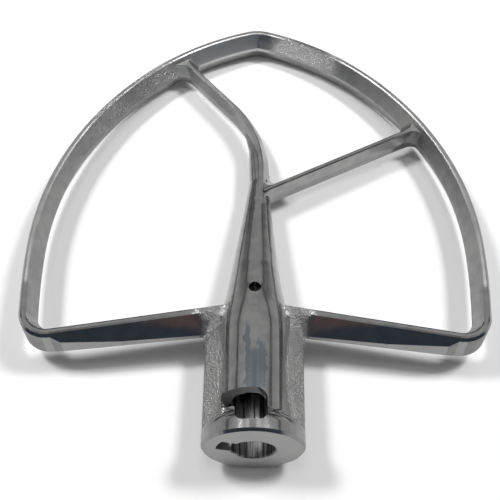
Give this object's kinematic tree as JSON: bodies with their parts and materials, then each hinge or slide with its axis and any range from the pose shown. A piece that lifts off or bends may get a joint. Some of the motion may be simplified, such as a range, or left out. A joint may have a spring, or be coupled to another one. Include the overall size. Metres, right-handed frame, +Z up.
{
  "type": "stand mixer flat beater",
  "caption": "Flat beater for a stand mixer: a polished steel casting with a curved, softly pointed rim, arms, slanted braces, a tapering stem and a hub with a shaft bore and pin slot.",
  "frame": {"origin": "middle of the footprint, on the surface the beater lies on", "axes": "+Y along the beater from the mouth of the hub to the tip of the rim, +Z up from the surface, +X to the right side, where the straight brace meets the rim"},
  "size_m": [0.1498, 0.1696, 0.0306],
  "materials": {
    "steel": "mirror-polished stainless steel casting, with patches of cast grain and a ground mouth face"
  },
  "bodies": {
    "root": {"flat_beater": "steel"}
  },
  "joints": []
}
